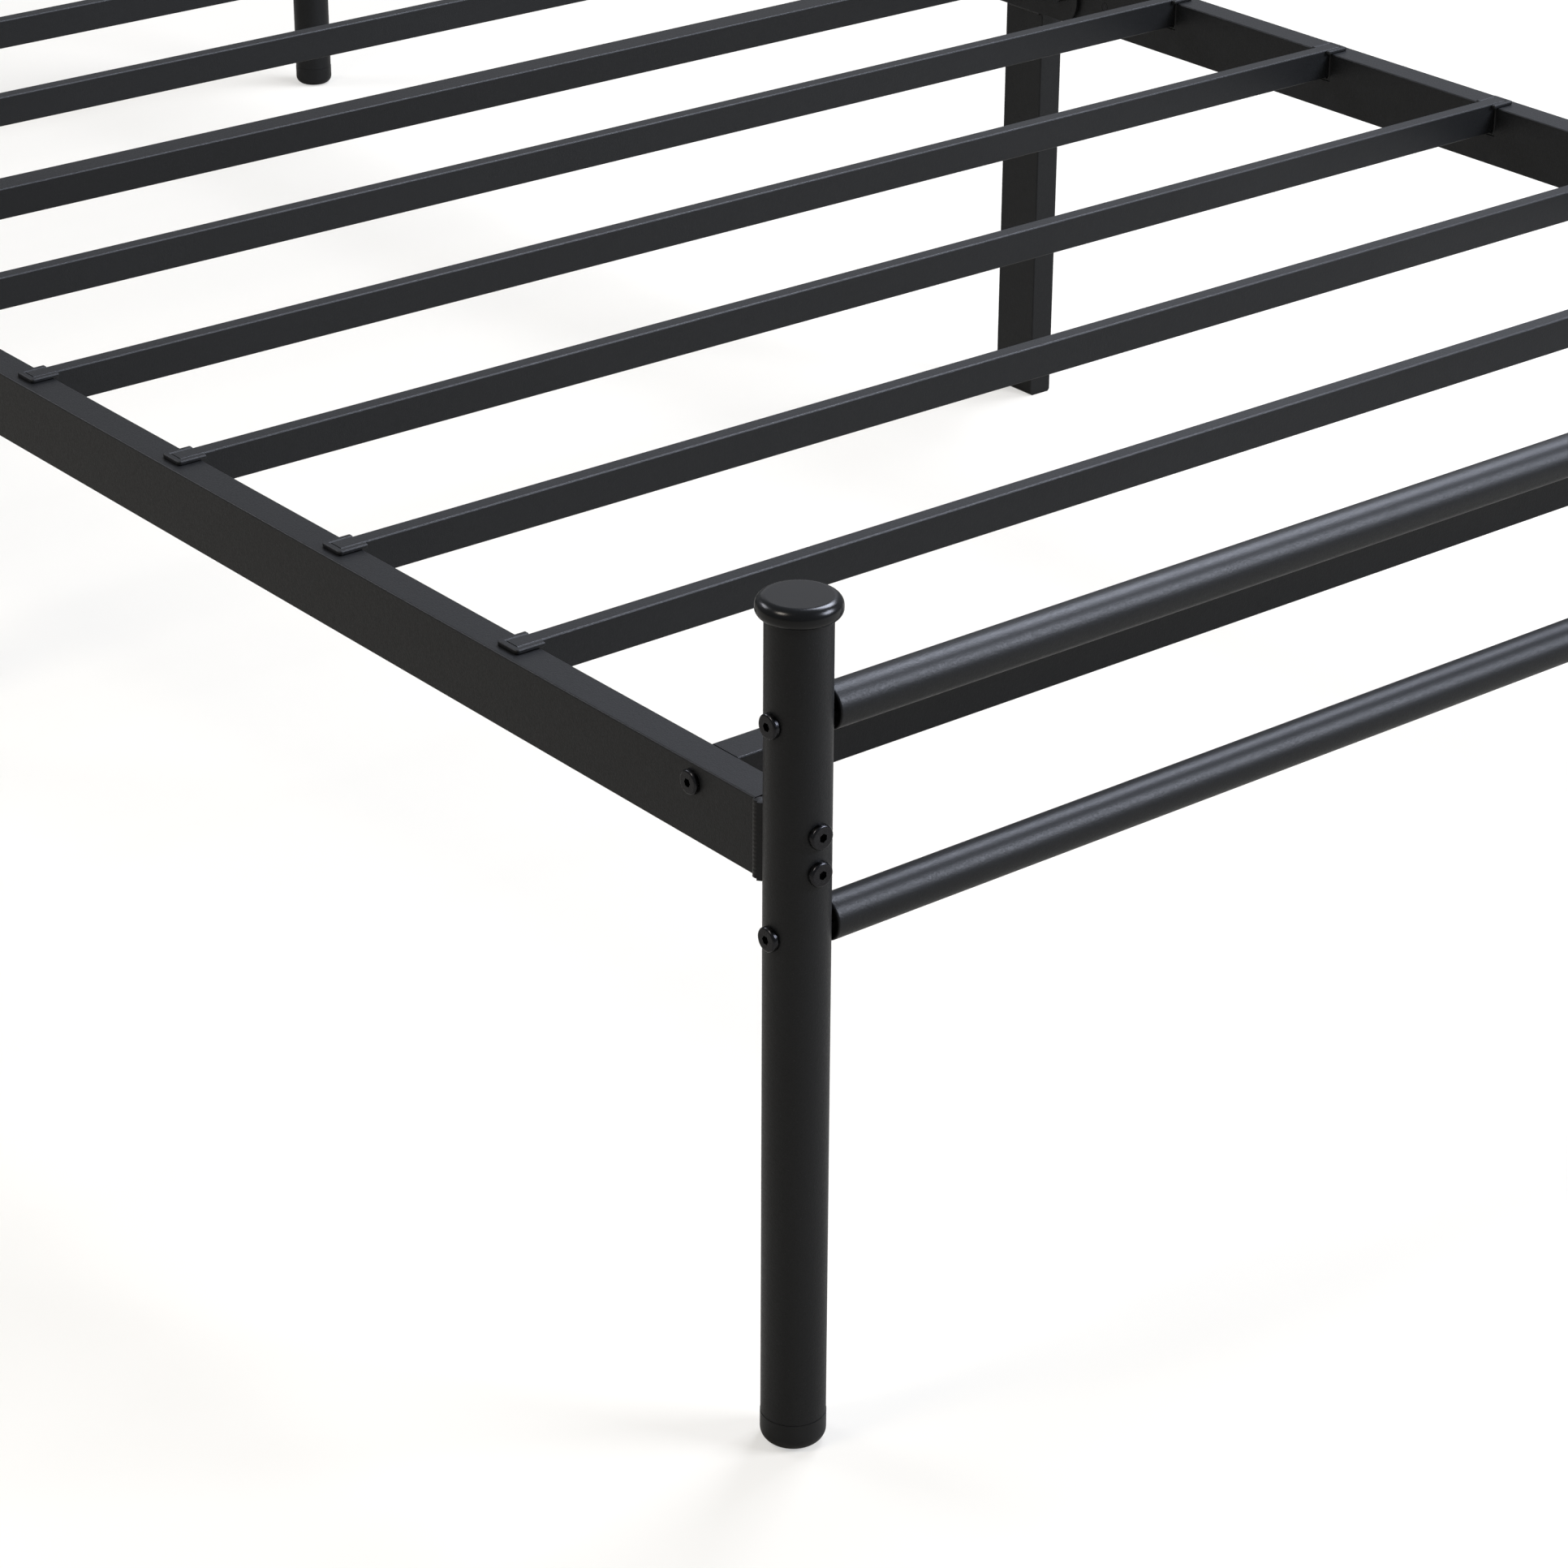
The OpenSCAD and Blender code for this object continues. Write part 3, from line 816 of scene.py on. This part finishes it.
leg_welds = bmesh.new()
for side_name, side in SIDES.items():
    low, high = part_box(f"{side_name}_middle_leg")
    for x in (low.x + LEG_BEAD / 2, high.x - LEG_BEAD / 2):
        near, far = Vector((x, low.y + LEG_BEAD, high.z)), Vector((x, high.y - LEG_BEAD, high.z))
        bead(leg_welds, near, far, LEG_BEAD)
finish_piece(leg_welds, "leg_welds", weld, "powder_coated_steel")
print("welds laid")

# %% [markdown]
# ## Floor, light and camera
#
# The frame stands on a plain pale floor in a bright room. Five soft lamps light it. Two strong
# ones, overhead on the right and in front, draw the two long bands on the round bars. A small
# warm one on the left glints on the cap, one behind lifts the far tubes, and a wide faint one
# is what the flat tops mirror. Black steel mostly shows what it mirrors, and its upright faces
# mirror the floor, so the floor's own colour is a mid tone. Where it is looked at directly, a
# faint glow is added so that it reads as pale. The room glows evenly in the same way.

# %% Floor
FLOOR_REACH = 30.0
FLOOR_ROUGHNESS = 0.9
FLOOR_SHINE = 0.1
PAPER_LIFT = 0.5  # glow added only where the floor is seen directly, not where it is mirrored
floor_bm = bmesh.new()
bmesh.ops.create_grid(floor_bm, x_segments=1, y_segments=1, size=FLOOR_REACH)
floor_mesh = bpy.data.meshes.new("floor")
floor_bm.to_mesh(floor_mesh)
floor_bm.free()
paper, paper_tree, paper_shader, _ = new_finish("pale_floor")
paper_shader.inputs["Base Color"].default_value = linear("#aca89e")
paper_shader.inputs["Roughness"].default_value = FLOOR_ROUGHNESS
paper_shader.inputs["Specular IOR Level"].default_value = FLOOR_SHINE
lit_paper = node(
    paper_tree, "ShaderNodeEmission", {"Color": linear("#ffffff"), "Strength": PAPER_LIFT}
)
paper_ray = node(paper_tree, "ShaderNodeLightPath")
lift = node(paper_tree, "ShaderNodeAddShader")
paper_tree.links.new(paper_shader.outputs["BSDF"], lift.inputs[0])
paper_tree.links.new(lit_paper.outputs["Emission"], lift.inputs[1])
paper_seen = node(paper_tree, "ShaderNodeMixShader", (), {"Fac": paper_ray.outputs["Is Camera Ray"]})
paper_tree.links.new(paper_shader.outputs["BSDF"], paper_seen.inputs[1])
paper_tree.links.new(lift.outputs["Shader"], paper_seen.inputs[2])
paper_out = paper_tree.nodes["Material Output"]
paper_tree.links.new(paper_seen.outputs["Shader"], paper_out.inputs["Surface"])
floor_mesh.materials.append(paper)
floor = bpy.data.objects.new("floor", floor_mesh)
bpy.context.scene.collection.objects.link(floor)


# %% Lamps
def soft_lamp(name, place, target, across, power, tint):
    data = bpy.data.lights.new(name, "AREA")
    data.shape = "RECTANGLE"
    data.size, data.size_y = across
    data.energy = power
    data.color = linear(tint)[:3]
    lamp = bpy.data.objects.new(name, data)
    lamp.location = place
    lamp.rotation_euler = (Vector(target) - Vector(place)).to_track_quat("-Z", "Y").to_euler()
    lamp.visible_camera = False
    bpy.context.scene.collection.objects.link(lamp)
    return lamp


soft_lamp("left_overhead", (-2.7, -0.6, 2.9), (-0.4, -0.6, 0.3), (0.9, 0.9), 38, "#fff6ea")
soft_lamp("right_overhead", (1.9, -0.15, 3.2), (-0.2, -0.9, 0.35), (1.6, 1.4), 135, "#e8eeff")
soft_lamp("front_lamp", (1.8, -3.2, 2.15), (-0.2, -0.95, 0.35), (1.6, 1.4), 145, "#e9efff")
soft_lamp("back_left", (-1.8, 2.6, 2.8), (-0.5, -0.4, 0.34), (1.6, 1.0), 48, "#f6f7ff")
soft_lamp("back_wall", (3.2, 3.8, 2.6), (0, -0.2, 0.3), (4.0, 2.6), 12, "#fafaff")

# %% Room glow
ROOM_GLOW = 0.27
ROOM_SEEN = 0.6
world = bpy.data.worlds.new("room")
bpy.context.scene.world = world
world.use_nodes = True
room = world.node_tree
glow = room.nodes["Background"]
glow.inputs["Color"].default_value = linear("#f2f5fb")
glow.inputs["Strength"].default_value = ROOM_GLOW
paper_white = node(room, "ShaderNodeBackground", {"Color": linear("#ffffff"), "Strength": ROOM_SEEN})
ray = node(room, "ShaderNodeLightPath")
seen = node(room, "ShaderNodeMixShader", (), {"Fac": ray.outputs["Is Camera Ray"]})
room.links.new(glow.outputs["Background"], seen.inputs[1])
room.links.new(paper_white.outputs["Background"], seen.inputs[2])
room.links.new(seen.outputs["Shader"], room.nodes["World Output"].inputs["Surface"])
bpy.context.scene.view_settings.view_transform = "Standard"

# %% [markdown]
# ### The camera
#
# The camera stands beyond the left foot corner, at chest height, with a long lens. It looks down
# at the near post, turned a little so that the room is as level as a hand-held camera keeps it.

# %% Camera
CAMERA_PLACE = Vector((-1.6532, -2.3932, 1.2424))
AZIMUTH = math.radians(-38.927)
ELEVATION = math.radians(26.219)
ROLL = math.radians(0.355)
SENSOR = 36.0
LENS = 101.95

back = Vector(
    (
        math.sin(AZIMUTH) * math.cos(ELEVATION),
        -math.cos(AZIMUTH) * math.cos(ELEVATION),
        math.sin(ELEVATION),
    )
)
right = Vector((0, 0, 1)).cross(back).normalized()
up = back.cross(right)
level = Matrix((right, up, back)).transposed()
camera_data = bpy.data.cameras.new("camera")
camera_data.sensor_width = SENSOR
camera_data.lens = LENS
camera = bpy.data.objects.new("camera", camera_data)
tilt = Matrix.Rotation(ROLL, 4, "Z")
camera.matrix_world = Matrix.Translation(CAMERA_PLACE) @ level.to_4x4() @ tilt
bpy.context.scene.collection.objects.link(camera)
bpy.context.scene.camera = camera
print("camera at", [round(value, 3) for value in CAMERA_PLACE])
